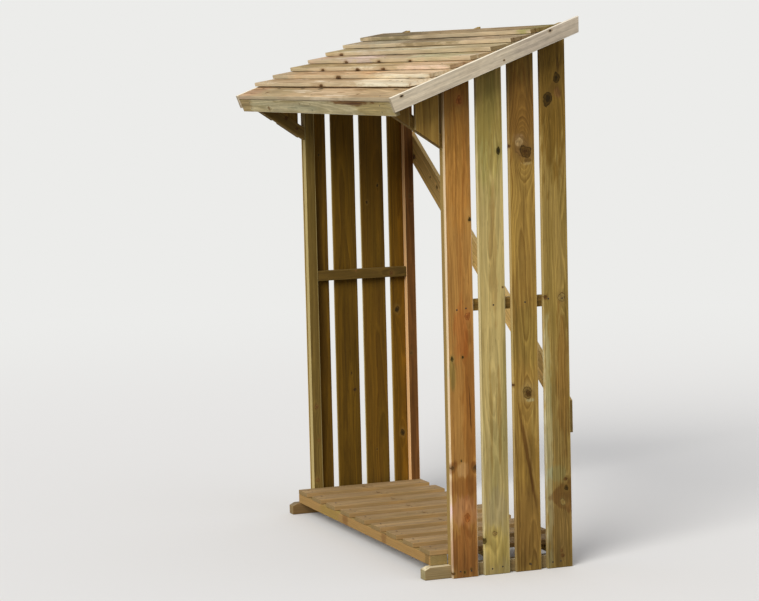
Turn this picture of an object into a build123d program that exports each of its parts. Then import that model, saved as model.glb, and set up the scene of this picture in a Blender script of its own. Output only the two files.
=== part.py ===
from build123d import *
import os
from math import asin, atan, ceil, cos, degrees, radians, sin, tan

os.makedirs("parts", exist_ok=True)

# Log store, open at the front and back, slatted at the sides, with a lapped board roof.
# +X is right when facing the open front, +Y runs to the back, +Z is up.
# The origin is the middle of the footprint, on the ground.

# Overall sizes
overall_width = 1710
overall_height = 1980
side_overhang = 105
front_overhang = 240
back_overhang = 6
roof_slope = 20.5

# Timber sections
board_thick = 18
slat_width = 100
slat_gap = 24
batten_thick = 28
batten_width = 42
runner_size = 45
bearer_width = 68
bearer_height = 36
roof_board_thick = 16
roof_board_width = 110
edging_height = 55

# Side walls
slats_per_side = 4
short_slat_width = 90
short_slat_gap = 16
short_slat_spacing = 20
mid_rail_height = 971

# Overhang braces: the foot's depth below the rafter, and the plumb cut left at the tip
overhang_brace_width = 44
overhang_brace_drop = 214
overhang_brace_setback = 46
overhang_brace_tip = 13

# Base
runner_reach = 32
runner_chamfer_length = 20
runner_chamfer_height = 10
widest_floor_gap = 65
end_clearance = 1

# Roof: the right bargeboard and the rafters run on past the last board, the left bargeboard ends with it
least_lap = 16
lap_clearance = 0.2
roof_board_setback = 80
edging_clearance = 0.5
fascia_recess = 4
left_bargeboard_short = 72

# Back brace: its centre line's ends at the posts' outer faces, one from the top, one from the ground
back_brace_width = 100
back_brace_top_drop = 492
back_brace_foot = 545

# Worked-out positions
side_depth = slats_per_side * slat_width + (slats_per_side - 1) * slat_gap
overall_depth = front_overhang + side_depth + board_thick
roof_run = front_overhang + side_depth + back_overhang
roof_front = -overall_depth / 2
wall_front = roof_front + front_overhang
wall_back = wall_front + side_depth
roof_back = roof_front + roof_run

barge_outer = overall_width / 2
barge_inner = barge_outer - board_thick
slat_outer = barge_outer - side_overhang
slat_inner = slat_outer - board_thick
post_inner = slat_inner - batten_thick
runner_inner = slat_inner - runner_size
bearer_end = post_inner - end_clearance
bearer_front = wall_front - bearer_width
bearer_top = runner_size + bearer_height
runner_front = bearer_front - runner_reach

slope = radians(roof_slope)
roof_front_height = overall_height - roof_run * tan(slope)
slope_length = roof_run / cos(slope)
rafter_top = -roof_board_thick
rafter_bottom = rafter_top - batten_width
fascia_back = fascia_recess + board_thick
lapped_length = slope_length - roof_board_setback - roof_board_width
roof_board_count = 1 + ceil(lapped_length / (roof_board_width - least_lap))
board_pitch = lapped_length / (roof_board_count - 1)


def height_at(y, depth):
    """Height of a line parallel to the roof, at a distance below the bargeboards' top edge."""
    return roof_front_height + (y - roof_front) * tan(slope) + depth / cos(slope)


def along_slope(y, depth):
    """Distance up the slope at which a line parallel to the roof passes a given y."""
    return (y - roof_front + depth * sin(slope)) / cos(slope)


def slope_plane(x):
    """Sketch plane across the roof: first axis up the slope, second axis square to it."""
    return Plane(
        origin=(x, roof_front, roof_front_height),
        x_dir=(0, cos(slope), sin(slope)),
        z_dir=(1, 0, 0),
    )


# Runners that the store stands on, each with its nose bevelled at the top
with BuildPart() as runner_right:
    with BuildSketch(Plane.YZ.offset(runner_inner)):
        with BuildLine():
            Polyline(
                (runner_front, 0),
                (wall_back, 0),
                (wall_back, runner_size),
                (runner_front + runner_chamfer_length, runner_size),
                (runner_front, runner_size - runner_chamfer_height),
                close=True,
            )
        make_face()
    extrude(amount=runner_size)
runner_right.part.label = "runner_right"
export_step(runner_right.part, "parts/runner_right.step")

with BuildPart() as runner_left:
    mirror(runner_right.part, about=Plane.YZ)
runner_left.part.label = "runner_left"
export_step(runner_left.part, "parts/runner_left.step")

# Floor bearers laid across the runners
bearer_fronts = {
    "front": bearer_front,
    "middle": (bearer_front + wall_back - bearer_width) / 2,
    "back": wall_back - bearer_width,
}
for place, y_front in bearer_fronts.items():
    with BuildPart() as floor_bearer:
        with BuildSketch(Plane.XY.offset(runner_size)):
            with Locations((0, y_front + bearer_width / 2)):
                Rectangle(2 * bearer_end, bearer_width)
        extrude(amount=bearer_height)
    floor_bearer.part.label = f"floor_bearer_{place}"
    export_step(floor_bearer.part, f"parts/floor_bearer_{place}.step")

# Floor slats, front to back on the bearers and spread evenly between the posts
floor_slat_length = wall_back - bearer_front
floor_spread = 2 * bearer_end - slat_width
floor_slat_count = 1 + ceil(floor_spread / (slat_width + widest_floor_gap))
floor_pitch = floor_spread / (floor_slat_count - 1)
with BuildPart() as floor_slats:
    with BuildSketch(Plane.XY.offset(bearer_top)):
        with Locations((0, (bearer_front + wall_back) / 2)):
            with GridLocations(floor_pitch, 0, floor_slat_count, 1):
                Rectangle(slat_width, floor_slat_length)
    extrude(amount=board_thick)
floor_slats.part.label = "floor_slats"
export_step(floor_slats.part, "parts/floor_slats.step")

# Corner posts on the runners, their tops cut to the slope under the rafters
post_fronts = {"front": wall_front, "back": wall_back - batten_width}
for place, y_front in post_fronts.items():
    y_back = y_front + batten_width
    with BuildPart() as post_right:
        with BuildSketch(Plane.YZ.offset(post_inner)):
            with BuildLine():
                Polyline(
                    (y_front, runner_size),
                    (y_back, runner_size),
                    (y_back, height_at(y_back, rafter_bottom)),
                    (y_front, height_at(y_front, rafter_bottom)),
                    close=True,
                )
            make_face()
        extrude(amount=batten_thick)
    post_right.part.label = f"{place}_post_right"
    export_step(post_right.part, f"parts/{place}_post_right.step")

    with BuildPart() as post_left:
        mirror(post_right.part, about=Plane.YZ)
    post_left.part.label = f"{place}_post_left"
    export_step(post_left.part, f"parts/{place}_post_left.step")

# Middle rails between the posts
with BuildPart() as mid_rail_right:
    with BuildSketch(Plane.YZ.offset(post_inner)):
        with Locations(((wall_front + wall_back) / 2, mid_rail_height)):
            Rectangle(side_depth - 2 * batten_width, batten_width)
    extrude(amount=batten_thick)
mid_rail_right.part.label = "mid_rail_right"
export_step(mid_rail_right.part, "parts/mid_rail_right.step")

with BuildPart() as mid_rail_left:
    mirror(mid_rail_right.part, about=Plane.YZ)
mid_rail_left.part.label = "mid_rail_left"
export_step(mid_rail_left.part, "parts/mid_rail_left.step")

# Rafters over each side wall and down the middle
rafter_places = {"right": post_inner, "left": -slat_inner, "middle": -batten_thick / 2}
for place, x_start in rafter_places.items():
    with BuildPart() as rafter:
        with BuildSketch(slope_plane(x_start)):
            with BuildLine():
                Polyline(
                    (fascia_back, rafter_bottom),
                    (along_slope(wall_back, rafter_bottom), rafter_bottom),
                    (along_slope(wall_back, rafter_top), rafter_top),
                    (fascia_back, rafter_top),
                    close=True,
                )
            make_face()
        extrude(amount=batten_thick)
    rafter.part.label = f"rafter_{place}"
    export_step(rafter.part, f"parts/rafter_{place}.step")

# Top rails between the posts, bevelled to carry the middle rafter
top_rail_fronts = {"front": wall_front, "back": wall_back - batten_thick}
for place, y_front in top_rail_fronts.items():
    y_back = y_front + batten_thick
    rail_bottom = height_at(y_front, rafter_bottom) - batten_width
    with BuildPart() as top_rail:
        with BuildSketch(Plane.YZ.offset(-post_inner)):
            with BuildLine():
                Polyline(
                    (y_front, rail_bottom),
                    (y_back, rail_bottom),
                    (y_back, height_at(y_back, rafter_bottom)),
                    (y_front, height_at(y_front, rafter_bottom)),
                    close=True,
                )
            make_face()
        extrude(amount=2 * post_inner)
    top_rail.part.label = f"{place}_top_rail"
    export_step(top_rail.part, f"parts/{place}_top_rail.step")

# Side slats, from the ground to the underside of the roof boards
for i in range(slats_per_side):
    y_front = wall_front + i * (slat_width + slat_gap)
    y_back = y_front + slat_width
    with BuildPart() as side_slat_right:
        with BuildSketch(Plane.YZ.offset(slat_inner)):
            with BuildLine():
                Polyline(
                    (y_front, 0),
                    (y_back, 0),
                    (y_back, height_at(y_back, rafter_top)),
                    (y_front, height_at(y_front, rafter_top)),
                    close=True,
                )
            make_face()
        extrude(amount=board_thick)
    side_slat_right.part.label = f"side_slat_right_{i + 1}"
    export_step(side_slat_right.part, f"parts/side_slat_right_{i + 1}.step")

    with BuildPart() as side_slat_left:
        mirror(side_slat_right.part, about=Plane.YZ)
    side_slat_left.part.label = f"side_slat_left_{i + 1}"
    export_step(side_slat_left.part, f"parts/side_slat_left_{i + 1}.step")

# Overhang braces, from the front posts up to the rafters
brace_foot = height_at(wall_front, rafter_bottom) - overhang_brace_drop
brace_front = roof_front + overhang_brace_setback
brace_tip = height_at(brace_front, rafter_bottom) - overhang_brace_tip
brace_slope = atan((brace_tip - brace_foot) / (wall_front - brace_front))
brace_depth = overhang_brace_width / cos(brace_slope)
brace_meets_rafter = wall_front - (overhang_brace_drop - brace_depth) / (tan(brace_slope) + tan(slope))


def brace_height(y):
    """Height of the overhang brace's lower edge, rising forwards from the post."""
    return brace_foot + (wall_front - y) * tan(brace_slope)


with BuildPart() as overhang_brace_right:
    with BuildSketch(Plane.YZ.offset(post_inner)):
        with BuildLine():
            Polyline(
                (wall_front, brace_foot),
                (wall_front, brace_foot + brace_depth),
                (brace_meets_rafter, height_at(brace_meets_rafter, rafter_bottom)),
                (brace_front, height_at(brace_front, rafter_bottom)),
                (brace_front, brace_tip),
                close=True,
            )
        make_face()
    extrude(amount=batten_thick)
overhang_brace_right.part.label = "overhang_brace_right"
export_step(overhang_brace_right.part, "parts/overhang_brace_right.step")

with BuildPart() as overhang_brace_left:
    mirror(overhang_brace_right.part, about=Plane.YZ)
overhang_brace_left.part.label = "overhang_brace_left"
export_step(overhang_brace_left.part, "parts/overhang_brace_left.step")

# Short slats under the roof overhang, their feet cut along the brace, the front one ripped to fit
short_slat_middle = wall_front - short_slat_gap - short_slat_width
short_slat_edges = {
    "back": (short_slat_middle, wall_front - short_slat_gap),
    "front": (brace_front, short_slat_middle - short_slat_spacing),
}
for place, (y_front, y_back) in short_slat_edges.items():
    with BuildPart() as short_slat_right:
        with BuildSketch(Plane.YZ.offset(slat_inner)):
            with BuildLine():
                Polyline(
                    (y_front, brace_height(y_front)),
                    (y_back, brace_height(y_back)),
                    (y_back, height_at(y_back, rafter_top)),
                    (y_front, height_at(y_front, rafter_top)),
                    close=True,
                )
            make_face()
        extrude(amount=board_thick)
    short_slat_right.part.label = f"short_slat_right_{place}"
    export_step(short_slat_right.part, f"parts/short_slat_right_{place}.step")

    with BuildPart() as short_slat_left:
        mirror(short_slat_right.part, about=Plane.YZ)
    short_slat_left.part.label = f"short_slat_left_{place}"
    export_step(short_slat_left.part, f"parts/short_slat_left_{place}.step")

# Bargeboards up the roof's two edges, square in front and plumb at the back
bargeboards = {
    "right": (barge_inner, roof_back),
    "left": (-barge_outer, roof_back - left_bargeboard_short),
}
for place, (x_start, y_end) in bargeboards.items():
    with BuildPart() as bargeboard:
        with BuildSketch(slope_plane(x_start)):
            with BuildLine():
                Polyline(
                    (0, 0),
                    (0, -edging_height),
                    (along_slope(y_end, -edging_height), -edging_height),
                    (along_slope(y_end, 0), 0),
                    close=True,
                )
            make_face()
        extrude(amount=board_thick)
    bargeboard.part.label = f"bargeboard_{place}"
    export_step(bargeboard.part, f"parts/bargeboard_{place}.step")

# Fascia between the bargeboards, square to the slope
roof_board_end = barge_inner - edging_clearance
with BuildPart() as fascia:
    with BuildSketch(slope_plane(-roof_board_end)):
        with BuildLine():
            Polyline(
                (fascia_recess, rafter_top),
                (fascia_recess, rafter_top - edging_height),
                (fascia_back, rafter_top - edging_height),
                (fascia_back, rafter_top),
                close=True,
            )
        make_face()
    extrude(amount=2 * roof_board_end)
fascia.part.label = "fascia"
export_step(fascia.part, "parts/fascia.step")

# Roof boards: the first lies flat, each later one rests on the board below it
lap_tilt = asin((roof_board_thick + lap_clearance) / board_pitch)
for i in range(roof_board_count):
    tilt = 0 if i == 0 else lap_tilt
    back_edge = i * board_pitch + roof_board_width
    with BuildPart() as roof_board:
        with BuildSketch(slope_plane(-roof_board_end)):
            with Locations(Location((back_edge, rafter_top, 0), (0, 0, -degrees(tilt)))):
                Rectangle(roof_board_width, roof_board_thick, align=(Align.MAX, Align.MIN))
        extrude(amount=2 * roof_board_end)
    roof_board.part.label = f"roof_board_{i + 1}"
    export_step(roof_board.part, f"parts/roof_board_{i + 1}.step")

# Diagonal back brace across the back of the rear posts, its ends cut plumb
back_brace_top = overall_height - back_brace_top_drop
back_brace_angle = atan((back_brace_top - back_brace_foot) / (2 * slat_inner))
half_height = back_brace_width / 2 / cos(back_brace_angle)
with BuildPart() as back_brace:
    with BuildSketch(Plane.XZ.offset(-wall_back)):
        with BuildLine():
            Polyline(
                (-slat_inner, back_brace_top - half_height),
                (slat_inner, back_brace_foot - half_height),
                (slat_inner, back_brace_foot + half_height),
                (-slat_inner, back_brace_top + half_height),
                close=True,
            )
        make_face()
    extrude(amount=-board_thick)
back_brace.part.label = "back_brace"
export_step(back_brace.part, "parts/back_brace.step")
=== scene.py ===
import random
from math import cos, pi, radians, sin

import bmesh
import bpy
from mathutils import Color, Matrix, Vector, noise


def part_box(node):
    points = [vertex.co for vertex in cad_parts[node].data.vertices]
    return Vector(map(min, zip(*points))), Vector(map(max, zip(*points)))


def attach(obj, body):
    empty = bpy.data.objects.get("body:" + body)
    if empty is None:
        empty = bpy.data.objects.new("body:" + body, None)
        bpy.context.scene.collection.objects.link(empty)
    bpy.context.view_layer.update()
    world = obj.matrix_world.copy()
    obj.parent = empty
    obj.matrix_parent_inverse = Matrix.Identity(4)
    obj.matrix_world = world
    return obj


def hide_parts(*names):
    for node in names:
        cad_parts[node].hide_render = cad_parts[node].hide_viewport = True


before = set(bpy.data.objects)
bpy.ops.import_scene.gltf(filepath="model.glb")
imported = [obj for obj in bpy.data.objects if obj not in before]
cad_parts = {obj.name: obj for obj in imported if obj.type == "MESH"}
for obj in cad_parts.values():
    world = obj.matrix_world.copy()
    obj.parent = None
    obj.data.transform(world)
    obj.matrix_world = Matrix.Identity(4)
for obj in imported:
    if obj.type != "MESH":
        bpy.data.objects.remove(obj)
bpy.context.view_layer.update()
BODY = "root"
MM = 0.001


def tone(red, green, blue):
    """Linear colour with an alpha of 1, from an sRGB colour written 0 to 255."""
    linear = Color((red / 255, green / 255, blue / 255)).from_srgb_to_scene_linear()
    return (*linear, 1.0)


def wood(*colours):
    """Tones of one kind of wood, from sRGB colours."""
    return tuple(tone(*colour) for colour in colours)


def change(start, end):
    """Factors that take one tone to another and keep the grain."""
    return tuple(b / a for a, b in zip(start[:3], end[:3]))


def board_number(name):
    """Place of a board in its row, from the number that ends its name."""
    return int(name[-1]) - 1


def add_object(name, data):
    """New object in the scene."""
    item = bpy.data.objects.new(name, data)
    bpy.context.scene.collection.objects.link(item)
    return item


# Camera, at the photograph's viewing angle
FRAME_WIDTH = 759
FOCAL_PIXELS = 2415
SENSOR_WIDTH = 36
CAMERA_PLACE = (8.5371, -3.3944, 1.8341)
CAMERA_AZIMUTH = 68.839
CAMERA_ELEVATION = 5.637
CAMERA_ROLL = 1.371


def make_camera():
    azimuth, elevation, roll = map(radians, (CAMERA_AZIMUTH, CAMERA_ELEVATION, CAMERA_ROLL))
    forward = Vector((-sin(azimuth) * cos(elevation), cos(azimuth) * cos(elevation), -sin(elevation)))
    level = forward.cross(Vector((0, 0, 1))).normalized()
    down = forward.cross(level)
    right = cos(roll) * level + sin(roll) * down
    up = sin(roll) * level - cos(roll) * down
    data = bpy.data.cameras.new("camera")
    data.sensor_width = SENSOR_WIDTH
    data.lens = SENSOR_WIDTH * FOCAL_PIXELS / FRAME_WIDTH
    camera = add_object("camera", data)
    turn = Matrix((right, up, -forward)).transposed().to_4x4()
    camera.matrix_world = Matrix.Translation(CAMERA_PLACE) @ turn
    bpy.context.scene.camera = camera


# Light and floor
KEY_DIRECTION = (0.59, -0.75, 0.60)
KEY_STRENGTH = 2.4
KEY_SPREAD = 34
SKY = tone(244, 247, 255)
SKY_STRENGTH = 0.60
BACKGROUND = tone(236, 236, 234)
FLOOR_SEEN = tone(236, 233, 227)
FLOOR_BOUNCE = tone(112, 108, 102)
FLOOR_SIZE = 60
FADE_START = 2.5
FADE_END = 9.0


class Graph:
    """Adds nodes to a tree. An input is a number, a tuple of numbers or another node's output."""

    def __init__(self, tree):
        self.tree = tree

    def add(self, kind, inputs=None, **settings):
        node = self.tree.nodes.new(kind)
        for name, value in settings.items():
            setattr(node, name, value)
        for socket, value in (inputs or {}).items():
            if isinstance(value, bpy.types.NodeSocket):
                self.tree.links.new(value, node.inputs[socket])
            else:
                node.inputs[socket].default_value = value
        return node

    def math(self, operation, *values):
        return self.add("ShaderNodeMath", dict(enumerate(values)), operation=operation).outputs[0]

    def times(self, *values):
        return self.math("MULTIPLY", *values)

    def plus(self, *values):
        return self.math("ADD", *values)

    def minus(self, *values):
        return self.math("SUBTRACT", *values)

    def over(self, *values):
        return self.math("DIVIDE", *values)

    def vector(self, operation, *values):
        node = self.add("ShaderNodeVectorMath", dict(enumerate(values)), operation=operation)
        return node.outputs["Value" if operation in ("LENGTH", "DOT_PRODUCT") else "Vector"]

    def split(self, vector):
        return self.add("ShaderNodeSeparateXYZ", {"Vector": vector}).outputs

    def join(self, x, y, z):
        return self.add("ShaderNodeCombineXYZ", {"X": x, "Y": y, "Z": z}).outputs["Vector"]

    def noise(self, place, along, across, detail=2):
        """Noise from 0 to 1, with one scale along the grain and one across it."""
        stretched = self.vector("MULTIPLY", place, (along, across, across))
        node = self.add("ShaderNodeTexNoise", {"Vector": stretched, "Scale": 1.0, "Detail": detail})
        return node.outputs["Fac"]

    def around_zero(self, value, amplitude):
        """Noise from 0 to 1 made to swing about zero."""
        return self.times(self.minus(value, 0.5), 2 * amplitude)

    def step(self, value, start, end, low=0.0, high=1.0):
        """Smooth step from low to high as the value goes from start to end."""
        inputs = {"Value": value, "From Min": start, "From Max": end, "To Min": low, "To Max": high}
        return self.add("ShaderNodeMapRange", inputs, interpolation_type="SMOOTHSTEP").outputs["Result"]

    def blend(self, amount, under, over):
        node = self.add("ShaderNodeMix", {0: amount, 6: under, 7: over}, data_type="RGBA")
        return node.outputs[2]

    def brighten(self, colour, factor):
        node = self.add("ShaderNodeVectorMath", {0: colour, "Scale": factor}, operation="SCALE")
        return node.outputs["Vector"]

    def attribute(self, name, output="Vector"):
        return self.add("ShaderNodeAttribute", attribute_name=name).outputs[output]

    def group(self, name, inputs):
        return self.add("ShaderNodeGroup", inputs, node_tree=GROUPS[name]).outputs


def new_group(name, inputs, outputs):
    """Empty node group with sockets named by kind: its graph, its inputs and its output node."""
    tree = bpy.data.node_groups.new(name, "ShaderNodeTree")
    for direction, sockets in (("INPUT", inputs), ("OUTPUT", outputs)):
        for kind, labels in sockets.items():
            for label in labels:
                tree.interface.new_socket(label, in_out=direction, socket_type=f"NodeSocket{kind}")
    given = tree.nodes.new("NodeGroupInput").outputs
    return Graph(tree), given, tree.nodes.new("NodeGroupOutput")


def close_group(graph, result, values):
    """Links what a group gives out, and returns its tree."""
    for label, value in values.items():
        graph.tree.links.new(value, result.inputs[label])
    return graph.tree


def new_material(name):
    material = bpy.data.materials.new(name)
    material.use_nodes = True
    material.node_tree.nodes.clear()
    return material, Graph(material.node_tree)


def finish_material(graph, height, strength, depth, inputs):
    """Ends a material in a surface whose relief comes from a height."""
    bump = graph.add("ShaderNodeBump", {"Height": height, "Strength": strength, "Distance": depth})
    surface = graph.add("ShaderNodeBsdfPrincipled", {**inputs, "Normal": bump.outputs[0]})
    graph.add("ShaderNodeOutputMaterial", {"Surface": surface.outputs[0]})


def make_light():
    data = bpy.data.lights.new("key", "SUN")
    data.energy = KEY_STRENGTH
    data.angle = radians(KEY_SPREAD)
    key = add_object("key", data)
    key.rotation_mode = "QUATERNION"
    key.rotation_quaternion = Vector(KEY_DIRECTION).to_track_quat("Z", "Y")

    world = bpy.data.worlds.new("studio")
    world.use_nodes = True
    world.node_tree.nodes.clear()
    graph = Graph(world.node_tree)
    soft = graph.add("ShaderNodeBackground", {"Color": SKY, "Strength": SKY_STRENGTH})
    plain = graph.add("ShaderNodeBackground", {"Color": BACKGROUND, "Strength": 1.0})
    seen = seen_directly(graph)
    both = graph.add("ShaderNodeMixShader", {0: seen, 1: soft.outputs[0], 2: plain.outputs[0]})
    graph.add("ShaderNodeOutputWorld", {"Surface": both.outputs[0]})
    bpy.context.scene.world = world


def seen_directly(graph):
    """1 for what the camera, a reflection or glass shows, 0 for what only lights the object."""
    rays = graph.add("ShaderNodeLightPath").outputs
    seen = graph.math("MAXIMUM", rays["Is Camera Ray"], rays["Is Glossy Ray"])
    return graph.math("MAXIMUM", seen, rays["Is Transmission Ray"])


def make_floor():
    """Pale floor that keeps the shadow and fades into the background with distance from the object."""
    material, graph = new_material("floor")
    place = graph.add("ShaderNodeTexCoord").outputs["Object"]
    distance = graph.vector("LENGTH", place)
    colour = graph.blend(seen_directly(graph), FLOOR_BOUNCE, FLOOR_SEEN)
    lit = graph.add("ShaderNodeBsdfDiffuse", {"Color": colour})
    plain = graph.add("ShaderNodeEmission", {"Color": BACKGROUND, "Strength": 1.0})
    far = graph.times(graph.step(distance, FADE_START, FADE_END), seen_directly(graph))
    surface = graph.add("ShaderNodeMixShader", {0: far, 1: lit.outputs[0], 2: plain.outputs[0]})
    graph.add("ShaderNodeOutputMaterial", {"Surface": surface.outputs[0]})

    shape = bmesh.new()
    bmesh.ops.create_grid(shape, x_segments=1, y_segments=1, size=FLOOR_SIZE / 2)
    mesh = bpy.data.meshes.new("floor")
    shape.to_mesh(mesh)
    mesh.materials.append(material)
    floor = add_object("floor", mesh)


# Boards: each solid of the frame, with eased arrises and edges that wander a little. Sizes in metres
WELD = 0.00002
STATION = 0.05
INSET = 0.0003
EDGE_WAVES = 5
FACE_WAVES = 4
FACE_SHARE = 0.25
SEED_STEP = 3.7
END_FACING = 0.6

# Each node's boards: their axes, middle, half size and bow
BOARDS = {}


def separate_boards(mesh):
    """Each separate board of a mesh, as a bmesh with one face to each side of the board."""
    whole = bmesh.new()
    whole.from_mesh(mesh)
    bmesh.ops.remove_doubles(whole, verts=whole.verts, dist=WELD)
    bmesh.ops.dissolve_limit(whole, angle_limit=radians(1), verts=whole.verts, edges=whole.edges)
    left = {v.index for v in whole.verts}
    whole.verts.ensure_lookup_table()
    while left:
        group, rim = set(), [min(left)]
        while rim:
            index = rim.pop()
            if index not in group:
                group.add(index)
                vert = whole.verts[index]
                rim += [edge.other_vert(vert).index for edge in vert.link_edges]
        left -= group
        board = whole.copy()
        board.verts.ensure_lookup_table()
        others = [v for v in board.verts if v.index not in group]
        bmesh.ops.delete(board, geom=others, context="VERTS")
        yield board
    whole.free()


def forwards(direction):
    """The direction or its reverse, whichever points along its main axis."""
    return direction if max(direction, key=abs) > 0 else -direction


def board_axes(board):
    """Directions along the grain, across the board and through it."""
    longest = max(board.edges, key=lambda edge: edge.calc_length())
    along = forwards((longest.verts[1].co - longest.verts[0].co).normalized())
    through = forwards(max(board.faces, key=lambda face: face.calc_area()).normal.copy())
    return Matrix((along, along.cross(through), through))


def cut_at_stations(board, axes, middle, half):
    """Cuts across the board at even distances, so that its edges can wander."""
    count = max(2, round(2 * half.x / STATION))
    for i in range(1, count):
        place = middle + axes[0] * half.x * (2 * i / count - 1)
        everything = list(board.verts) + list(board.edges) + list(board.faces)
        bmesh.ops.bisect_plane(board, geom=everything, plane_co=place, plane_no=axes[0])


def bowed(place, half, bow):
    """A place in a board that is crooked sideways by the bow at its middle."""
    return Vector((place[0], place[1] + bow * (1 - (place[0] / half.x) ** 2), place[2]))


def dress(name, wander, ease, seed, bow):
    """A node's visible piece, which replaces its solids. Its faces wander by a share of what its edges do.
    Its mesh holds each point's place in the board, the board's half sizes and seed, and its end grain."""
    points, faces, places, halves, seeds, ends = [], [], [], [], [], []
    BOARDS[name] = []
    for number, board in enumerate(separate_boards(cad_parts[name].data)):
        axes = board_axes(board)
        local = [axes @ v.co for v in board.verts]
        low = Vector(min(p[k] for p in local) for k in range(3))
        high = Vector(max(p[k] for p in local) for k in range(3))
        half, middle = (high - low) / 2, axes.transposed() @ ((high + low) / 2)
        BOARDS[name].append((axes, middle, half, bow))
        bmesh.ops.bevel(
            board, geom=list(board.edges), offset=ease, segments=2, profile=0.5,
            affect="EDGES", clamp_overlap=True,
        )
        cut_at_stations(board, axes, middle, half)
        board_seed = seed + SEED_STEP * number
        first = len(points)
        for v in board.verts:
            # The noise is read at places of its own for each edge and for the faces
            place = axes @ (v.co - middle)
            across = noise.noise(Vector((place.x * EDGE_WAVES, board_seed, 2 if place.y > 0 else 9)))
            through = noise.noise(Vector((place.x * FACE_WAVES, board_seed + 20, 5)))
            place.y *= 1 - (INSET + wander * (0.5 + 0.5 * across)) / half.y
            place.z *= 1 - (INSET + FACE_SHARE * wander * (0.5 + 0.5 * through)) / half.z
            place.x *= 1 - INSET / half.x
            points.append(middle + axes.transposed() @ bowed(place, half, bow))
            places.append(place)
            halves.append(half)
            seeds.append(board_seed)
        for face in board.faces:
            faces.append([first + v.index for v in face.verts])
            ends.append(1.0 if abs(face.normal @ axes[0]) > END_FACING else 0.0)
        board.free()
    mesh = bpy.data.meshes.new(f"dressed_{name}")
    mesh.from_pydata(points, [], faces)
    for label, kind, domain, field, values in (
        ("place_in_board", "FLOAT_VECTOR", "POINT", "vector", [c for p in places for c in p]),
        ("board_half", "FLOAT_VECTOR", "POINT", "vector", [c for p in halves for c in p]),
        ("board_seed", "FLOAT", "POINT", "value", seeds),
        ("end_grain", "FLOAT", "FACE", "value", ends),
    ):
        mesh.attributes.new(label, kind, domain).data.foreach_set(field, values)
    mesh.shade_smooth()
    piece = add_object(f"dressed_{name}", mesh)
    normals = piece.modifiers.new("normals", "WEIGHTED_NORMAL")
    normals.weight = 90
    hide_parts(name)
    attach(piece, BODY)
    return piece


# Timber: the tones that a wood and a knot have, by name
WOOD_PARTS = ("Early", "Late", "Stain", "Edge", "End")
KNOT_PARTS = ("Middle", "Face", "Rim", "Halo")


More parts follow.
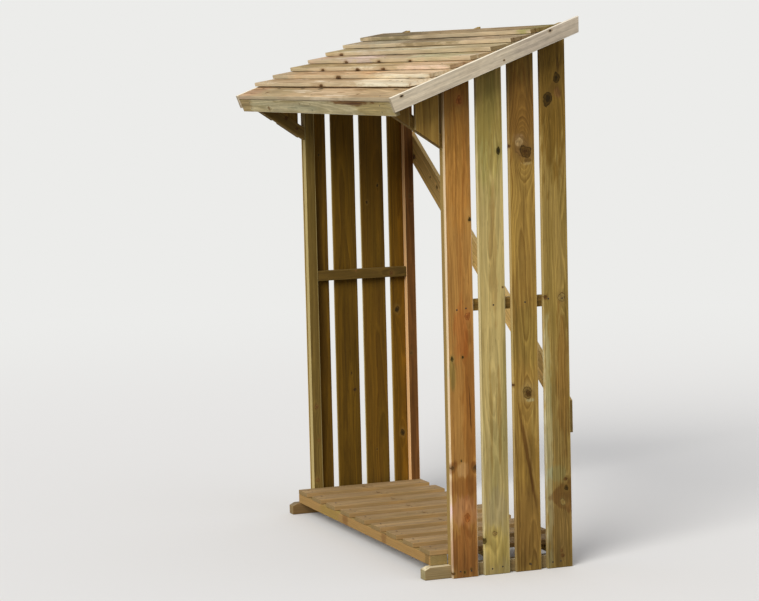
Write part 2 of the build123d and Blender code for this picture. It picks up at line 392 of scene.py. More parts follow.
def grain_group():
    """Sawn softwood: rings cut by the board, fibres, streaks, flecks, arrises, end grain, damp feet, and
    painted shade on one face.
    """
    graph, given, result = new_group(
        "timber_grain",
        {
            "Color": WOOD_PARTS, "Vector": ("Pith", "Inner shade"),
            "Float": ("Stain amount", "Rings", "Mottle", "Ring spacing", "Lean", "Waver", "Bulge", "Damp"),
        },
        {"Color": ("Color",), "Float": ("Height", "Dryness")},
    )
    place = graph.attribute("place_in_board")
    half = graph.attribute("board_half")
    seed = graph.attribute("board_seed", "Fac")
    end = graph.attribute("end_grain", "Fac")
    shifted = graph.vector("ADD", place, graph.join(graph.times(seed, 1.9), seed, 0.0))

    # Distance from the tree's pith, which wavers along the board, gives the rings
    across_wave = graph.around_zero(graph.noise(shifted, 1.4, 3.0), 0.034)
    depth_wave = graph.around_zero(graph.noise(shifted, 1.3, 4.0, 1), 0.040)
    along, across, through = graph.split(place)[:3]
    pith = graph.split(given["Pith"])
    across_wave = graph.times(across_wave, given["Waver"])
    depth_wave = graph.times(depth_wave, given["Waver"])
    from_pith_across = graph.plus(graph.minus(across, pith[1]), across_wave)
    pith_depth = graph.plus(pith[2], graph.times(given["Lean"], along))
    from_pith_through = graph.plus(graph.minus(through, pith_depth), depth_wave)
    radius = graph.vector("LENGTH", graph.join(from_pith_across, from_pith_through, 0.0))
    ripple = graph.around_zero(graph.noise(shifted, 11.0, 90.0, 3), 0.0022)
    uneven = graph.add(
        "ShaderNodeTexNoise", {"W": graph.times(radius, 85.0), "Scale": 1.0, "Detail": 1.0},
        noise_dimensions="1D",
    ).outputs["Fac"]
    grown = graph.plus(graph.minus(radius, given["Bulge"]), ripple)
    grown = graph.plus(grown, graph.around_zero(uneven, 0.006))
    rings = graph.over(grown, given["Ring spacing"])
    ring = graph.math("FRACT", rings)
    year = graph.add(
        "ShaderNodeTexWhiteNoise", {"W": graph.plus(graph.math("FLOOR", rings), seed)},
        noise_dimensions="1D",
    ).outputs["Value"]
    late = graph.times(graph.step(ring, 0.25, 0.88), graph.step(ring, 0.99, 0.90))
    late = graph.times(late, graph.step(year, 0.0, 1.0, 0.25, 1.0))
    light_line = graph.times(graph.step(ring, 0.0, 0.06), graph.step(ring, 0.34, 0.12))

    fibre = graph.noise(shifted, 10.0, 420.0, 3)
    streak = graph.noise(shifted, 2.4, 62.0, 4)
    broad = graph.noise(shifted, 2.3, 16.0, 3)
    blotch = graph.noise(shifted, 42.0, 110.0, 3)
    fleck = graph.step(graph.noise(shifted, 26.0, 330.0, 1), 0.66, 0.74)
    line = graph.step(graph.noise(shifted, 3.0, 105.0, 4), 0.52, 0.64)
    line = graph.times(line, graph.step(graph.noise(shifted, 7.0, 30.0, 2), 0.35, 0.62, 0.15, 0.85))

    amount = graph.times(late, graph.step(streak, 0.2, 0.7, 0.35, 1.0))
    amount = graph.times(amount, given["Rings"])
    colour = graph.blend(amount, given["Early"], given["Late"])
    colour = graph.blend(graph.times(line, given["Rings"]), colour, given["Late"])
    stained = graph.times(graph.step(broad, 0.42, 0.68), given["Stain amount"])
    colour = graph.blend(stained, colour, given["Stain"])
    fine = graph.plus(graph.around_zero(fibre, 0.34), graph.around_zero(streak, 0.50))
    fine = graph.plus(fine, graph.times(graph.around_zero(blotch, 1.0), given["Mottle"]))
    fine = graph.plus(fine, graph.times(graph.times(light_line, given["Rings"]), 0.22))
    colour = graph.brighten(colour, graph.plus(1.0, fine))
    colour = graph.blend(graph.times(fleck, 0.45), colour, given["End"])

    # The sawn edges have their own tone, the arrises are rubbed, the end grain is darker
    room = graph.split(graph.vector("SUBTRACT", half, graph.vector("ABSOLUTE", place)))
    side = graph.minus(graph.step(room[1], 0.0032, 0.0016), end)
    colour = graph.blend(graph.times(side, 0.8), colour, given["Edge"])
    nearest = graph.plus(room[1], room[2])
    rubbed = graph.times(graph.step(nearest, 0.0055, 0.001), graph.step(fibre, 0.35, 0.65))
    colour = graph.blend(graph.times(rubbed, 0.5), colour, given["Edge"])
    colour = graph.blend(graph.times(end, 0.7), colour, given["End"])
    side_grain = graph.plus(1.0, graph.times(graph.around_zero(fibre, 0.35), side))
    colour = graph.brighten(colour, side_grain)

    # One face can be darker than the other with painted shade, and boards on the ground are damp at their
    # feet
    # The face on the positive side of the board's middle takes the painted shade
    painted_shade_side = graph.step(through, -0.001, 0.001)
    colour = graph.blend(painted_shade_side, colour, graph.vector("MULTIPLY", colour, given["Inner shade"]))

    height = graph.split(graph.add("ShaderNodeTexCoord").outputs["Object"])[2]
    ragged = graph.plus(height, graph.around_zero(streak, 0.07))
    wet = graph.times(graph.step(ragged, 0.15, 0.01), given["Damp"])
    colour = graph.brighten(colour, graph.minus(1.0, graph.times(wet, 0.3)))

    relief = graph.plus(graph.times(fibre, 0.7), graph.times(late, 0.35))
    relief = graph.minus(relief, graph.times(fleck, 0.4))
    dryness = graph.plus(0.78, graph.around_zero(streak, 0.14))
    return close_group(graph, result, {"Color": colour, "Height": relief, "Dryness": dryness})


def knot_group():
    """How far a point is from a knot, in knot radii, and how much the rings bulge round it."""
    graph, given, result = new_group(
        "knot_reach", {"Vector": ("Centre",), "Float": ("Radius", "Stretch", "Depth")},
        {"Float": ("Reach", "Bulge")},
    )
    place = graph.attribute("place_in_board")
    along, across, through = graph.split(graph.vector("SUBTRACT", place, given["Centre"]))[:3]
    through = graph.times(through, given["Depth"])
    offset = graph.join(graph.over(along, given["Stretch"]), across, through)
    in_radii = graph.brighten(offset, graph.over(0.8, given["Radius"]))
    shifted = graph.vector("ADD", in_radii, graph.brighten(given["Centre"], 60.0))
    jitter = graph.noise(shifted, 1.0, 1.0, 3)
    distance = graph.over(graph.vector("LENGTH", offset), given["Radius"])
    reach = graph.plus(distance, graph.around_zero(jitter, 0.75))
    stretched = graph.vector("LENGTH", graph.vector("MULTIPLY", offset, (0.40, 1.0, 0.0)))
    fall = graph.over(stretched, graph.times(given["Radius"], 1.6))
    swell = graph.math("EXPONENT", graph.times(graph.times(fall, fall), -1.0))
    bulge = graph.times(swell, graph.times(given["Radius"], 0.95))
    return close_group(graph, result, {"Reach": reach, "Bulge": bulge})


def knot_face_group():
    """Colours a knot by its reach: its middle, its own rings, a rim, and the wood round it."""
    graph, given, result = new_group(
        "knot_face", {"Color": ("Color", *KNOT_PARTS), "Float": ("Reach", "Halo amount", "Height")},
        {"Color": ("Color",), "Float": ("Height",)},
    )
    reach = given["Reach"]
    face = graph.step(reach, 1.06, 0.86)
    rim = graph.times(graph.step(reach, 0.68, 0.94), face)
    own = graph.step(graph.math("FRACT", graph.times(reach, 3.3)), 0.3, 0.9, 0.0, 0.35)
    heart = graph.blend(own, given["Face"], given["Rim"])
    heart = graph.blend(graph.step(reach, 0.55, 0.30), heart, given["Middle"])
    heart = graph.blend(rim, heart, given["Rim"])
    place = graph.attribute("place_in_board")
    mottled = graph.around_zero(graph.noise(place, 110.0, 160.0, 4), 0.9)
    heart = graph.brighten(heart, graph.math("MAXIMUM", graph.plus(1.0, mottled), 0.3))
    halo = graph.times(graph.step(reach, 2.4, 0.9), given["Halo amount"])
    colour = graph.blend(halo, given["Color"], given["Halo"])
    colour = graph.blend(face, colour, heart)
    height = graph.minus(given["Height"], graph.times(rim, 1.2))
    return close_group(graph, result, {"Color": colour, "Height": height})


def patch_group():
    """Mask of a stained patch: an ellipse with ragged edges that may lean across the board."""
    graph, given, result = new_group(
        "stained_patch", {"Vector": ("Centre", "Half size"), "Float": ("Lean",)}, {"Float": ("Mask",)}
    )
    place = graph.attribute("place_in_board")
    along, across = graph.split(graph.vector("SUBTRACT", place, given["Centre"]))[:2]
    across = graph.minus(across, graph.times(along, given["Lean"]))
    size = graph.split(given["Half size"])
    shape = graph.join(graph.over(along, size[0]), graph.over(across, size[1]), 0.0)
    ragged = graph.noise(graph.vector("ADD", place, given["Centre"]), 16.0, 80.0, 4)
    reach = graph.plus(graph.vector("LENGTH", shape), graph.around_zero(ragged, 0.8))
    return close_group(graph, result, {"Mask": graph.step(reach, 1.2, 0.65)})


def wedge_group():
    """Mask of a stain in a V lying on its side: its apex, the way that it opens and how wide it gets."""
    graph, given, result = new_group(
        "stained_wedge", {"Vector": ("Apex",), "Float": ("Opening",)}, {"Float": ("Mask",)}
    )
    place = graph.attribute("place_in_board")
    along, across = graph.split(graph.vector("SUBTRACT", place, given["Apex"]))[:2]
    ragged = graph.noise(graph.vector("ADD", place, given["Apex"]), 22.0, 60.0, 4)
    room = graph.minus(graph.times(across, given["Opening"]), graph.math("ABSOLUTE", along))
    room = graph.plus(room, graph.around_zero(ragged, 0.040))
    return close_group(graph, result, {"Mask": graph.step(room, -0.006, 0.010)})


GROUPS = {
    "grain": grain_group(),
    "knot": knot_group(),
    "knot_face": knot_face_group(),
    "patch": patch_group(),
    "wedge": wedge_group(),
}

# An edge knot shows in a board's edge and stays low in it. The others go through the board
EDGE_KNOT_PLACE = -0.004

# Knots: stretch along the board, tones of middle, face, rim and wood round it, tint of that wood.
# A swell is a knot under the surface, which only bends the rings
KNOT_KINDS = {
    "tight": (1.1, wood((94, 62, 26), (116, 82, 38), (62, 42, 16), (122, 90, 42)), 0.45),
    "loose": (1.4, wood((50, 36, 8), (82, 60, 18), (50, 36, 8), (128, 98, 42)), 0.5),
    "slit": (2.0, wood((40, 34, 10), (62, 52, 16), (50, 42, 12), (124, 110, 52)), 0.45),
    "eye": (1.1, wood((52, 38, 14), (128, 102, 50), (88, 66, 28), (176, 150, 92)), 0.35),
    "ring": (1.1, wood((132, 106, 54), (156, 130, 72), (92, 66, 30), (132, 104, 52)), 0.35),
    "brown": (1.15, wood((118, 84, 40), (134, 98, 50), (92, 62, 28), (128, 96, 46)), 0.35),
    "orange": (1.3, wood((142, 82, 34), (166, 102, 46), (132, 76, 32), (178, 116, 56)), 0.55),
    "green": (1.5, wood((72, 58, 22), (96, 80, 36), (78, 62, 24), (138, 122, 64)), 0.4),
    "dark": (1.2, wood((54, 36, 12), (78, 54, 18), (42, 28, 8), (88, 62, 22)), 0.4),
    "heart": (1.0, wood((78, 52, 18), (96, 68, 26), (60, 42, 12), (122, 92, 46)), 0.5),
    "pale": (1.0, wood((176, 144, 92), (184, 152, 100), (128, 96, 48), (132, 100, 50)), 0.5),
    "swell": (2.2, None, 0),
    "edge": (3.4, wood((88, 60, 32), (104, 74, 42), (128, 96, 58), (160, 128, 86)), 0.5),
}

# Kinds to draw from, for boards without knots of their own
KNOTS = ("tight", "tight", "brown", "brown", "ring")
DARK_KNOTS = ("loose", "loose", "dark")

# How deep the grain's relief is
RELIEF_STRENGTH = 0.55
RELIEF_DEPTH = 0.0008


def timber(name, tones, rings, mottle, spacing, pith, lean, stain_amount=0.4, waver=0.6, damp=0.0,
           inner=(1, 1, 1), knots=(), patches=(), wedges=()):
    """Material of one board, its marks placed in metres from the board's middle.
    A knot is (along, across, radius, kind), a patch (along, across, half length, half width, lean,
    factors, strength) and a wedge (along, across, opening, factors, strength)."""
    material, graph = new_material(name)
    seen_knots, bulge = [], 0.0
    for along, across, radius, kind in knots:
        stretch, colours, tint = KNOT_KINDS[kind]
        knot = graph.group("knot", {
            "Centre": (along, across, EDGE_KNOT_PLACE), "Radius": radius, "Stretch": stretch,
            "Depth": 1.0 if kind == "edge" else 0.0,
        })
        if colours:
            seen_knots.append((knot["Reach"], colours, tint))
        bulge = graph.plus(knot["Bulge"], bulge)
    # The inner factors paint shade on one face of the board
    grain = graph.group("grain", {
        **dict(zip(WOOD_PARTS, tones)), "Stain amount": stain_amount, "Rings": rings, "Mottle": mottle,
        "Ring spacing": spacing, "Pith": pith, "Lean": lean, "Waver": waver, "Bulge": bulge, "Damp": damp,
        "Inner shade": inner,
    })
    colour, height = grain["Color"], grain["Height"]
    stains = [
        ("patch", {"Centre": (along, across, 0), "Half size": (half_length, half_width, 1), "Lean": slant},
         factors, strength)
        for along, across, half_length, half_width, slant, factors, strength in patches
    ] + [
        ("wedge", {"Apex": (along, across, 0), "Opening": opening}, factors, strength)
        for along, across, opening, factors, strength in wedges
    ]
    for kind, shape, factors, strength in stains:
        mask = graph.group(kind, shape)["Mask"]
        tinted = graph.vector("MULTIPLY", colour, factors)
        colour = graph.blend(graph.times(mask, strength), colour, tinted)
    for reach, colours, tint in seen_knots:
        knot = graph.group("knot_face", {
            **dict(zip(KNOT_PARTS, colours)), "Color": colour, "Reach": reach, "Halo amount": tint,
            "Height": height,
        })
        colour, height = knot["Color"], knot["Height"]
    finish_material(graph, height, RELIEF_STRENGTH, RELIEF_DEPTH, {
        "Base Color": colour, "Roughness": grain["Dryness"], "Specular IOR Level": 0.15,
    })
    return material


def random_knots(draw, half, count, largest, kinds):
    """Knots scattered along a board, most of them small."""
    return [
        (draw.uniform(-0.92, 0.92) * half.x, draw.uniform(-0.8, 0.8) * half.y,
         draw.uniform(0.4, 1.0) ** 2 * largest, draw.choice(kinds))
        for _ in range(count)
    ]


# Tones: early wood, late wood, stain, sawn edge, end grain
ORANGE = wood((186, 136, 68), (150, 98, 42), (146, 92, 38), (250, 224, 182), (120, 80, 40))
STRAW = wood((196, 172, 108), (158, 132, 74), (164, 150, 88), (222, 204, 150), (124, 104, 60))
GOLDEN = wood((174, 138, 66), (126, 92, 36), (136, 102, 46), (202, 174, 112), (104, 80, 40))
OLIVE = wood((170, 140, 74), (124, 98, 42), (130, 106, 44), (192, 166, 104), (104, 84, 42))
FRAME = wood((142, 112, 56), (104, 78, 34), (110, 90, 40), (160, 132, 74), (88, 68, 34))
BASE = wood((196, 168, 108), (158, 130, 74), (158, 140, 78), (196, 160, 90), (140, 122, 70))
BARGE = wood((214, 198, 170), (190, 171, 140), (192, 172, 142), (254, 242, 216), (172, 154, 124))
FASCIA = wood((202, 188, 146), (170, 154, 110), (178, 160, 114), (224, 210, 172), (138, 118, 78))

# The left wall's slats outside. Their inner faces, seen from the camera, are darker: painted shade inside
# the store, a little less on the back slat, painted light from the store's open back.
LEFT_TONES = (GOLDEN, OLIVE, STRAW, OLIVE)
LEFT_INNER_SHADE = wood((108, 78, 16), (108, 78, 16), (110, 78, 18), (122, 86, 18))

# Marks that darken every kind of wood by the same factors
DARKENINGS = {
    "crack": change(tone(160, 120, 64), tone(74, 46, 18)),
    "brown": change(tone(160, 130, 70), tone(118, 84, 38)),
}

# The right wall: distances in mm, height above the ground first, then from the slat's front edge.
# A mark's colour is an sRGB one, as it looks on a board of the mid colour, or names a darkening
RIGHT_SLATS = (
    dict(
        tones=ORANGE, mid=(176, 126, 60), rings=0.55, mottle=0.06, spacing=0.0075,
        pith=(0, 0.030, -0.045), lean=0.010, waver=0.5,
        knots=[
            (1697, 60, 11, "orange"), (1276, 92, 5, "loose"), (936, 77, 11, "orange"), (787, 13, 6, "green"),
            (790, 55, 4, "loose"), (421, 41, 3, "loose"), (216, 62, 12, "orange"), (20, 46, 4, "loose"),
            (28, 72, 5, "tight"), (18, 4, 5, "tight"), (398, 6, 6, "tight"), (392, 95, 8, "tight"),
        ],
        patches=[
            (880, 52, 115, 30, 0, (178, 108, 46), 0.7),
            # Painted shade under the roof's overhang, over the slat's top
            (1760, 50, 330, 90, 0, (154, 109, 48), 1.0),
            (735, 14, 60, 14, 0, (146, 118, 56), 0.9),
            (1450, 50, 220, 42, 0, (178, 122, 52), 0.7),
            (618, 79, 88, 2.2, -0.03, "crack", 0.85),
            (590, 76, 340, 26, 0, (160, 108, 46), 0.9),
            (398, 10, 26, 15, 0.2, "brown", 0.8), (396, 90, 24, 15, -0.2, "brown", 0.8),
            (388, 50, 26, 22, 0, (196, 150, 88), 0.9),
            (328, 50, 40, 70, 0, (156, 104, 46), 0.8),
            (240, 50, 55, 60, 0, (188, 134, 82), 0.8),
            (95, 50, 110, 70, 0, (146, 94, 42), 0.9),
        ],
    ),
    dict(
        tones=STRAW, mid=(184, 158, 98), rings=0.75, mottle=0.05, spacing=0.0095,
        pith=(0, -0.004, -0.050), lean=0.014, waver=0.6,
        knots=[
            (1515, 83, 8, "slit"), (126, 2, 8, "green"), (1030, 90, 3, "tight"), (150, 42, 8, "ring"),
            (1590, 50, 17, "swell"), (1180, 40, 12, "swell"), (663, 46, 18, "swell"), (330, 60, 12, "swell"),
        ],
        patches=[
            (1600, 50, 230, 70, 0, (166, 146, 82), 0.8),
            # Painted shade under the roof's overhang, over the slat's top
            (1770, 50, 300, 90, 0, (172, 142, 80), 1.0),
            (330, 50, 260, 80, 0, (172, 148, 92), 1.0),
            (1150, 56, 240, 16, 0, (168, 134, 76), 0.7),
            (560, 36, 200, 7, 0, (160, 128, 66), 0.7),
            (560, 68, 190, 8, 0, (158, 124, 64), 0.7),
            (240, 50, 70, 45, 0, (172, 150, 106), 0.6),
            (90, 45, 80, 50, 0, (186, 156, 80), 0.7),
        ],
    ),
    dict(
        tones=GOLDEN, mid=(158, 124, 58), rings=0.9, mottle=0.05, spacing=0.0085,
        pith=(0, 0.006, -0.040), lean=-0.016, waver=1.0,
        knots=[
            (1522, 52, 28, "brown"), (1540, 42, 19, "pale"), (1508, 63, 23, "heart"), (649, 57, 20, "eye"),
            (644, 60, 11, "heart"), (1165, 41, 20, "swell"), (880, 60, 12, "swell"),
            (1528, 2, 5, "tight"), (677, 2, 5, "tight"), (26, 53, 3, "loose"),
        ],
        patches=[
            (1640, 50, 160, 70, 0, (146, 106, 46), 0.8),
            # Painted shade under the roof's overhang, over the slat's top
            (1770, 50, 320, 90, 0, (136, 104, 46), 1.0),
            (260, 50, 280, 80, 0, (140, 108, 48), 1.0),
            (1550, 40, 22, 20, 0, (184, 154, 108), 0.9),
            (1476, 72, 7, 17, 0, "crack", 0.7), (1466, 68, 7, 20, 0, (180, 152, 92), 0.8),
            (620, 64, 7, 17, 0, (176, 160, 108), 0.9),
            (410, 52, 180, 7, -0.17, (116, 80, 32), 0.85),
            (395, 66, 150, 4, -0.17, (176, 140, 76), 0.6),
            (540, 82, 75, 16, 0, (176, 144, 74), 0.8),
            (850, 50, 120, 60, 0, (140, 114, 52), 0.7),
            (170, 50, 150, 70, 0, (138, 104, 50), 0.7),
        ],
    ),
    dict(
        tones=OLIVE, mid=(154, 124, 62), rings=0.85, mottle=0.05, spacing=0.0075,
        pith=(0, 0.075, -0.030), lean=0.006, waver=0.25,
        knots=[
            (1692, 30, 20, "loose"), (1766, 66, 13, "loose"), (981, 73, 14, "ring"), (985, 8, 7, "tight"),
            (322, 76, 7, "tight"), (290, 78, 8, "loose"), (240, 66, 12, "ring"), (44, 60, 7, "tight"),
            (62, 56, 5, "tight"), (1200, 69, 18, "swell"), (1480, 50, 10, "swell"),
        ],
        patches=[
            (1728, 50, 46, 14, 0.45, (118, 90, 46), 0.7),
            (1812, 72, 45, 5, 0, (104, 76, 38), 0.7),
            (1712, 66, 20, 15, 0, (150, 112, 72), 0.9),
            # Painted shade under the roof's overhang, over the slat's top
            (1770, 50, 360, 90, 0, (126, 94, 36), 1.0),
            (300, 50, 320, 80, 0, (140, 112, 56), 1.0),
            (470, 13, 480, 15, 0, (176, 158, 104), 0.85),
            (700, 72, 280, 24, 0, (134, 98, 42), 0.85),
            (130, 60, 150, 60, 0, (136, 104, 50), 0.8),
            (345, 42, 30, 42, 0, (152, 138, 80), 0.6),
        ],
        wedges=[(258, 1, 0.80, (122, 86, 38), 0.85)],
    ),
)


def measured(look, to_board):
    """Turns a look's marks from mm and colours into places in metres and factors."""
    look = dict(look)
    mid = look.pop("mid", None)

    def factors(colour):
        return DARKENINGS[colour] if colour in DARKENINGS else change(tone(*mid), tone(*colour))

    look["knots"] = [(*to_board(a, b), r * MM, kind) for a, b, r, kind in look.get("knots", ())]
    look["patches"] = [
        (*to_board(a, b), long * MM, wide * MM, slant, factors(colour), strength)
        for a, b, long, wide, slant, colour, strength in look.get("patches", ())
    ]
    look["wedges"] = [
        (*to_board(a, b), opening, factors(colour), strength)
        for a, b, opening, colour, strength in look.get("wedges", ())
    ]
    return look


def right_slat_look(name, half):
    def to_board(height, from_front):
        return height * MM - half.x, from_front * MM - half.y
    return dict(measured(RIGHT_SLATS[board_number(name)], to_board), stain_amount=0.5, damp=1.0)


# Roof boards from the eaves up. Marks: mm to the right of the middle, then mm from the board's front edge.
# A lap shade is a dark dash of painted shade in the lap, where a board stands off the next: place, half
# length, half depth
TAN = (192, 165, 124)
CREAM = (224, 204, 168)
# Colour of the painted shade in the laps
LAP_SHADE = (72, 56, 34)
STREAK = (148, 118, 78)
ROOF_STAIN = (150, 120, 78)
ROOF_EDGE = (214, 194, 156)
STREAKS = 16
LAP_PLACE = 80
SHADE_DASHES = 4
REACH = 800
ROOF_LOOKS = (
    dict(
        early=(183, 157, 118), late=(152, 121, 81), end=(164, 132, 92), bow=0,
        knots=[(-560, 40, 8, "tight"), (470, 30, 6, "brown")], lap_shades=[(-45, 30, 6)],
        patches=[(-740, 50, 110, 60, 0, (190, 154, 118), 0.8),
                 (-430, 50, 170, 60, 0, (178, 156, 114), 0.8),
                 (200, 50, 240, 70, 0, (218, 190, 150), 0.8)],
    ),
    dict(
        early=(192, 164, 125), late=(158, 127, 87), end=(190, 166, 132), bow=2,
        knots=[(-40, 0, 7, "edge"), (560, 45, 7, "brown"), (640, 40, 5, "tight")], lap_shades=[(-50, 35, 7)],
        patches=[(590, 50, 370, 80, 0, (228, 210, 174), 1.0)],
    ),
    dict(
        early=(196, 161, 118), late=(160, 122, 78), end=(160, 138, 104), bow=6,
        knots=[(-48, 0, 9, "edge"), (215, 22, 8, "orange"), (250, 30, 6, "tight")],
        lap_shades=[(-440, 35, 5), (-40, 30, 6), (215, 80, 6)],
        patches=[(590, 50, 350, 80, 0, (213, 195, 160), 1.0),
                 (-760, 50, 160, 80, 0, (172, 152, 116), 0.9),
                 (210, 40, 110, 40, 0, (202, 164, 116), 0.5)],
    ),
    dict(
        early=(178, 152, 106), late=(143, 114, 69), end=(146, 118, 88), bow=9,
        knots=[(-36, 0, 7, "edge"), (-430, 0, 6.5, "edge"), (225, 0, 6.5, "edge"), (-500, 40, 6, "tight")],
        lap_shades=[(-375, 30, 4), (-14, 30, 5), (290, 35, 4)],
        patches=[(560, 50, 280, 80, 0, (224, 190, 158), 0.9),
                 (-700, 50, 160, 80, 0, (180, 157, 115), 0.8)],
    ),
    dict(
        early=(192, 169, 133), late=(158, 132, 96), end=(142, 118, 82), bow=9,
        knots=[(-14, 0, 5.5, "edge"), (-370, 0, 6, "edge"), (300, 0, 5, "edge"), (330, 45, 5, "tight")],
        lap_shades=[(100, 560, 3.5), (-60, 50, 6)],
        patches=[(-260, 40, 200, 50, 0, (200, 172, 148), 0.9),
                 (480, 50, 280, 60, 0, (184, 170, 122), 0.8),
                 (-740, 50, 100, 60, 0, (196, 160, 126), 0.7)],
    ),
    dict(
        early=(187, 170, 132), late=(155, 136, 96), end=(98, 78, 44), bow=8,
        knots=[(-641, 0, 7, "edge"), (-60, 30, 6, "tight")], lap_shades=[(-641, 60, 4), (-250, 90, 4)],
        patches=[(-360, 30, 260, 30, 0, (200, 174, 140), 0.8),
                 (-760, 50, 130, 70, 0, (182, 152, 104), 0.8)],
    ),
    dict(
        early=(174, 156, 126), late=(140, 121, 89), end=(100, 78, 46), bow=8,
        knots=[(-600, 60, 7, "tight"), (560, 40, 8, "brown")], lap_shades=[(85, 305, 4), (-420, 40, 4)],
        patches=[(-430, 50, 220, 50, 0, (190, 172, 134), 0.8),
                 (80, 40, 320, 70, 0, (156, 130, 90), 1.0),
                 (520, 40, 180, 60, 0, (206, 175, 132), 0.8)],
    ),
    dict(
        early=(156, 132, 96), late=(120, 98, 60), end=(116, 94, 56), bow=6,
        knots=[(-380, 60, 7, "tight")], lap_shades=[],
        patches=[(-520, 50, 330, 80, 0, (144, 124, 86), 1.0),
                 (775, 50, 70, 80, 0, (170, 154, 92), 0.9)],
    ),
)


def roof_look(name, half, draw):
    given = ROOF_LOOKS[board_number(name)]
    # Random dashes of painted shade in the laps, besides the listed ones
    shade_dashes = [
        (draw.uniform(-REACH, REACH), draw.uniform(8, 30), draw.uniform(2, 5)) for _ in range(SHADE_DASHES)
    ]
    patches = given["patches"] + [
        (right, LAP_PLACE, long, deep, 0, LAP_SHADE, 0.9) for right, long, deep in given["lap_shades"] + shade_dashes
    ] + [
        (draw.uniform(-REACH, REACH), draw.uniform(4, 74), draw.uniform(40, 180), draw.uniform(3, 8),
         draw.uniform(-0.02, 0.02), draw.choice((CREAM, STREAK)), draw.uniform(0.5, 1.0))
        for _ in range(STREAKS)
    ]

    def to_board(right, from_front):
        return right * MM, half.y - from_front * MM
    return dict(
        measured(dict(mid=TAN, knots=given["knots"], patches=patches), to_board),
        tones=wood(given["early"], given["late"], ROOF_STAIN, ROOF_EDGE, given["end"]),
        rings=0.9, mottle=0.07, spacing=draw.uniform(0.006, 0.010),
        pith=(0, draw.uniform(-0.04, 0.04), -draw.uniform(0.03, 0.06)), lean=draw.uniform(-0.014, 0.014),
    )


# Boards with marks or tones of their own, in mm from the board's middle
SPECIAL = {
    "fascia": dict(
        mid=(202, 188, 146), knots=[(-500, -10, 8, "brown"), (-120, 12, 3, "tight")],
        patches=[
            (440, 22, 220, 9, 0, (134, 100, 60), 1.0),
            (470, 16, 110, 8, 0, (122, 90, 52), 0.8),
            (-560, 6, 150, 9, 0, (200, 188, 146), 0.8),
            (-100, -4, 190, 12, 0, (182, 174, 136), 0.8),
            (-250, 20, 200, 5, 0, (160, 142, 98), 0.8),
            (640, 0, 190, 60, 0, (182, 160, 104), 0.8),
            (-790, 0, 90, 60, 0, (168, 142, 92), 0.8),
        ],
    ),
    "bargeboard_right": dict(
        mid=(214, 198, 170), knots=[(-341, -17, 4, "loose"), (261, -18, 4, "loose"), (60, 12, 3, "tight")],
        patches=[(330, 0, 220, 70, 0, (202, 186, 162), 1.0)],
    ),
    "front_post_left": dict(
        tones=wood((122, 99, 46), (97, 74, 31), (102, 82, 34), (206, 184, 122), (104, 84, 42)),
        knots=[(-465, 0, 8, "brown"), (-605, 6, 6, "brown"), (-770, -4, 8, "brown")],
    ),
    # Its edge tone is partly the sawn edge's paler colour, partly a painted highlight for sun on the post's
    # narrow front face
    "back_post_left": dict(
        tones=wood((118, 76, 34), (88, 54, 20), (92, 60, 24), (255, 204, 142), (88, 68, 34)),
        knots=[(300, 4, 7, "tight"), (-350, -6, 6, "tight")],
    ),
    "mid_rail_left": dict(
        tones=wood((106, 80, 32), (78, 56, 20), (86, 68, 26), (116, 92, 42), (72, 56, 26)),
    ),
    "runner_left": dict(
        tones=wood((150, 130, 98), (122, 102, 68), (124, 104, 66), (154, 118, 68), (170, 140, 88)),
    ),
    "runner_right": dict(
        tones=wood((246, 228, 186), (218, 194, 142), (220, 198, 146), (154, 124, 68), (156, 140, 86)),
    ),
    # Lighter than the other frame timber: painted light, for the light that falls inside the store
    "back_brace": dict(
        tones=wood((226, 186, 112), (182, 144, 76), (188, 152, 84), (222, 188, 122), (116, 94, 50)),
    ),
    "floor_slats": dict(
        tones=wood((166, 136, 94), (132, 104, 64), (136, 112, 68), (172, 138, 88), (140, 116, 72)),
    ),
    "floor_bearer_front": dict(
        tones=wood((160, 132, 80), (126, 100, 54), (134, 112, 62), (170, 131, 76), (140, 122, 76)),
        mid=(182, 150, 84),
        patches=[(-330, 34, 110, 30, 0, (172, 148, 72), 0.8),
                 (-160, 34, 30, 16, 0, (148, 112, 58), 0.8),
                 (250, 32, 24, 16, 0, (150, 116, 62), 0.8),
                 (672, 32, 20, 16, 0, (140, 118, 64), 0.8)],
    ),
}

# Start of the name, tones, slot, how far edges wander, arris, knots, largest knot, stain, rings, mottle.
# Boards whose tones come from a table of their own have none here
FAMILIES = (
    ("side_slat_right", None, "side_slats", 0.9, 1.6, 0, 0, 0, 0, 0),
    ("side_slat_left", None, "side_slats", 0.9, 1.6, 3, 10, 0.6, 0.8, 0.06),
    ("short_slat", GOLDEN, "side_slats", 0.9, 1.6, 2, 7, 0.6, 0.8, 0.05),
    ("roof_board", None, "roof_boards", 2.6, 1.8, 0, 0, 0, 0, 0),
    ("bargeboard", BARGE, "edging", 0.7, 1.5, 2, 4, 0.5, 0.16, 0.22),
    ("fascia", FASCIA, "edging", 0.9, 1.5, 0, 0, 0.6, 0.9, 0.14),
    ("back_brace", None, "frame_timber", 0.9, 1.6, 5, 11, 0.5, 0.9, 0.05),
    ("runner", None, "base_timber", 0.8, 2.0, 2, 7, 0.5, 0.7, 0.06),
    ("floor", BASE, "base_timber", 0.9, 1.6, 4, 10, 0.5, 0.8, 0.06),
    ("", FRAME, "frame_timber", 0.7, 1.6, 4, 9, 0.5, 0.8, 0.05),
)

# Looks are drawn in the order of the names, from one seed
DRAW_SEED = 41


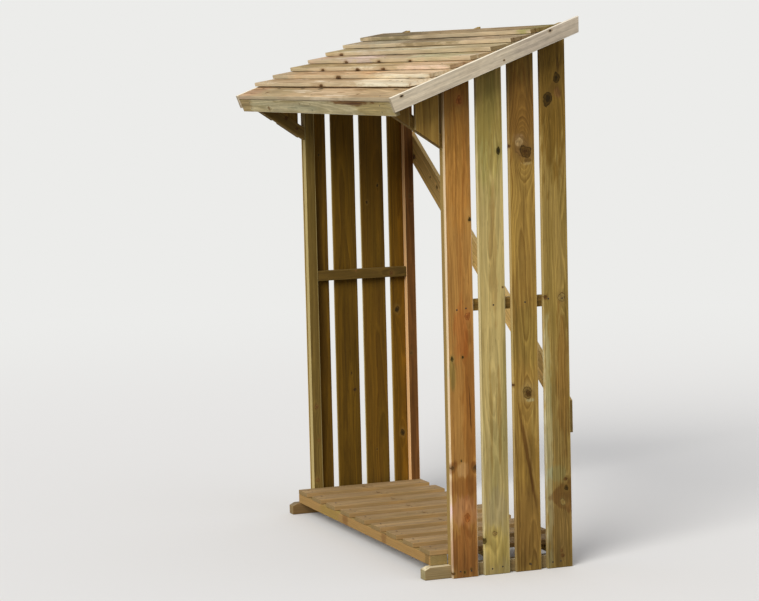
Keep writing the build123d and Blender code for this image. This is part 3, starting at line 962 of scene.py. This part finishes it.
def dress_boards():
    draw = random.Random(DRAW_SEED)
    for name in sorted(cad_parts):
        start, tones, slot, wander, ease, knots, largest, stained, rings, mottle = next(
            family for family in FAMILIES if name.startswith(family[0])
        )
        bow = ROOF_LOOKS[board_number(name)]["bow"] if start == "roof_board" else 0
        piece = dress(name, wander * MM, ease * MM, seed=draw.uniform(0, 40), bow=bow * MM)
        half = BOARDS[name][0][2]
        if start == "side_slat_right":
            look = right_slat_look(name, half)
        elif start == "roof_board":
            look = roof_look(name, half, draw)
        else:
            kinds = DARK_KNOTS if start == "side_slat_left" else KNOTS
            look = dict(
                tones=tones, stain_amount=stained, rings=rings, mottle=mottle,
                spacing=draw.uniform(0.006, 0.009), lean=draw.uniform(-0.015, 0.015),
                pith=(0, draw.uniform(-0.03, 0.03), -draw.uniform(0.03, 0.07)),
                knots=random_knots(draw, half, knots, largest * MM, kinds),
                damp=1.0 if start.startswith(("side_slat", "runner")) else 0.0,
            )
        if start == "side_slat_left":
            look["tones"] = LEFT_TONES[board_number(name)]
            # Painted shade on the slat's inner face, less on the back slat
            look["inner"] = change(look["tones"][0], LEFT_INNER_SHADE[board_number(name)])
        if name in SPECIAL:
            special = measured(SPECIAL[name], lambda along, across: (along * MM, across * MM))
            look.update({part: value for part, value in special.items() if value})
        piece.data.materials.append(timber(f"timber_{name}", **look))


# Nails
NAIL_PROFILE = ((0.0, 0.0), (1.8, -0.02), (2.9, -0.15), (3.3, -0.5), (3.3, -1.6))
NAIL_SIDES = 12
NAIL_CLEAN = tone(64, 56, 48)
NAIL_RUST = tone(46, 32, 20)
RUST_STRENGTH = 0.3
RUST_DEPTH = 0.0002


def nail_material():
    material, graph = new_material("nail_steel")
    place = graph.add("ShaderNodeTexCoord").outputs["Object"]
    rust = graph.step(graph.noise(place, 900.0, 900.0, 3), 0.4, 0.62)
    colour = graph.blend(rust, NAIL_CLEAN, NAIL_RUST)
    rough = graph.step(rust, 0.0, 1.0, 0.5, 0.85)
    finish_material(graph, rust, RUST_STRENGTH, RUST_DEPTH, {
        "Base Color": colour, "Roughness": rough, "Metallic": 0.35,
    })
    return material


def nails_in(name, face, places):
    """Where nails stand in each solid of a node, and the way that they point.
    Places are in mm from the board's middle, along and across. Face is 1 or -1, the side nailed."""
    found = []
    for axes, middle, half, bow in BOARDS[name]:
        for along, across in places(half / MM):
            place = bowed((along * MM, across * MM, face * half.z), half, bow)
            found.append((middle + axes.transposed() @ place, axes[2] * face))
    return found


def nail_heads(name, nails):
    """One piece of many nail heads, each driven nearly level with its board."""
    points, faces = [], []
    for place, outwards in nails:
        turn = outwards.to_track_quat("Z", "Y").to_matrix()
        first = len(points)
        for radius, height in NAIL_PROFILE:
            for i in range(NAIL_SIDES):
                angle = 2 * pi * i / NAIL_SIDES
                rim = Vector((radius * cos(angle), radius * sin(angle), height)) * MM
                points.append(place + turn @ rim)
                if radius == 0:
                    break
        ring = first + 1
        faces += [(first, ring + i, ring + (i + 1) % NAIL_SIDES) for i in range(NAIL_SIDES)]
        for k in range(len(NAIL_PROFILE) - 2):
            inner, outer = ring + k * NAIL_SIDES, ring + (k + 1) * NAIL_SIDES
            for i in range(NAIL_SIDES):
                j = (i + 1) % NAIL_SIDES
                faces.append((inner + i, outer + i, outer + j, inner + j))
    mesh = bpy.data.meshes.new(name)
    mesh.from_pydata(points, [], faces)
    mesh.shade_smooth()
    mesh.materials.append(NAIL_STEEL)
    piece = add_object(name, mesh)
    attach(piece, BODY)


NAIL_STEEL = nail_material()

# Nails of the right wall: height and distance from the slat's front edge, in mm
RIGHT_NAILS = (
    ((959, 36), (963, 71), (24, 30), (22, 72)), ((969, 53), (22, 30), (26, 70)),
    ((972, 52), (24, 57)), ((979, 20), (978, 74), (23, 20), (24, 52)),
)

# The other nails, in mm: from a board's end, then across from its middle. Sines scatter some a little
SLAT_TOP = ((62, -23), (54, 23))
SHORT_SLAT_TOP = ((52, -18), (46, 18))
BARGEBOARD_NAILS = ((44, -17), (646, -18))
BRACE_END = ((15, -20), (19, 18))
RAIL_NAILS = (-22, 23)
FASCIA_NAILS = (-12, 12)
FLOOR_NAILS = (-26, 26)
RUNNER_HEIGHT = 23
RAFTER_MIDDLE = 14
LAP_TO_NAIL = 22


def below_top(nails):
    """Nails under a board's upper end, as nails_in takes them."""
    return lambda half: [(half.x - below, across) for below, across in nails]


def nail_all():
    """Nails wherever one board is fixed to another."""
    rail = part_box("mid_rail_right")
    rail_height = (rail[0].z + rail[1].z) / 2 / MM
    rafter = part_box("rafter_right")[0].x / MM + RAFTER_MIDDLE
    rafters = (-rafter, 0, rafter)
    sides = []
    for i, photographed in enumerate(RIGHT_NAILS, 1):
        def in_photo(half):
            return [(height - half.x, from_front - half.y) for height, from_front in photographed]

        def in_rails(half):
            heights = (RUNNER_HEIGHT, rail_height)
            return [(z - half.x, y + 4 * sin(7 * z + y)) for z in heights for y in RAIL_NAILS]

        right, left = f"side_slat_right_{i}", f"side_slat_left_{i}"
        sides += nails_in(right, 1, in_photo) + nails_in(right, 1, below_top(SLAT_TOP))
        sides += nails_in(left, -1, in_rails) + nails_in(left, -1, below_top(SLAT_TOP))
    for place in ("front", "back"):
        for side, face in (("right", 1), ("left", -1)):
            sides += nails_in(f"short_slat_{side}_{place}", face, below_top(SHORT_SLAT_TOP))
    nail_heads("nails_sides", sides)

    roof = []
    for i in range(1, len(ROOF_LOOKS) + 1):
        roof += nails_in(f"roof_board_{i}", 1, lambda half: [
            (x, half.y - LAP_TO_NAIL - 4 * sin(3 * i + x)) for x in rafters
        ])
    nail_heads("nails_roof", roof)

    edging = nails_in("fascia", -1, lambda half: [(x, y) for x in rafters for y in FASCIA_NAILS])
    for side, face in (("right", 1), ("left", -1)):
        edging += nails_in(f"bargeboard_{side}", face, lambda half: [
            (from_end - half.x, across) for from_end, across in BARGEBOARD_NAILS
        ])
    nail_heads("nails_edging", edging)

    bearers = []
    for place in ("front", "middle", "back"):
        low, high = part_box(f"floor_bearer_{place}")
        bearers.append((low.y + high.y) / 2 / MM)
    low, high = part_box("floor_slats")
    floor_middle = (low.y + high.y) / 2 / MM
    floor = nails_in("floor_slats", 1, lambda half: [
        (y - floor_middle, x + 3 * sin(y)) for y in bearers for x in FLOOR_NAILS
    ])
    nail_heads("nails_floor", floor)

    # The brace's ends are plumb, so its nails follow its fall
    grain = BOARDS["back_brace"][0][0][0]
    fall = -grain.z / grain.x
    brace = nails_in("back_brace", 1, lambda half: [
        (side * (half.x - fall * (half.y + side * across) - from_end), across)
        for side in (-1, 1) for from_end, across in BRACE_END
    ])
    nail_heads("nails_brace", brace)


bpy.context.scene.view_settings.view_transform = "Standard"
make_camera()
make_light()
make_floor()
dress_boards()
nail_all()
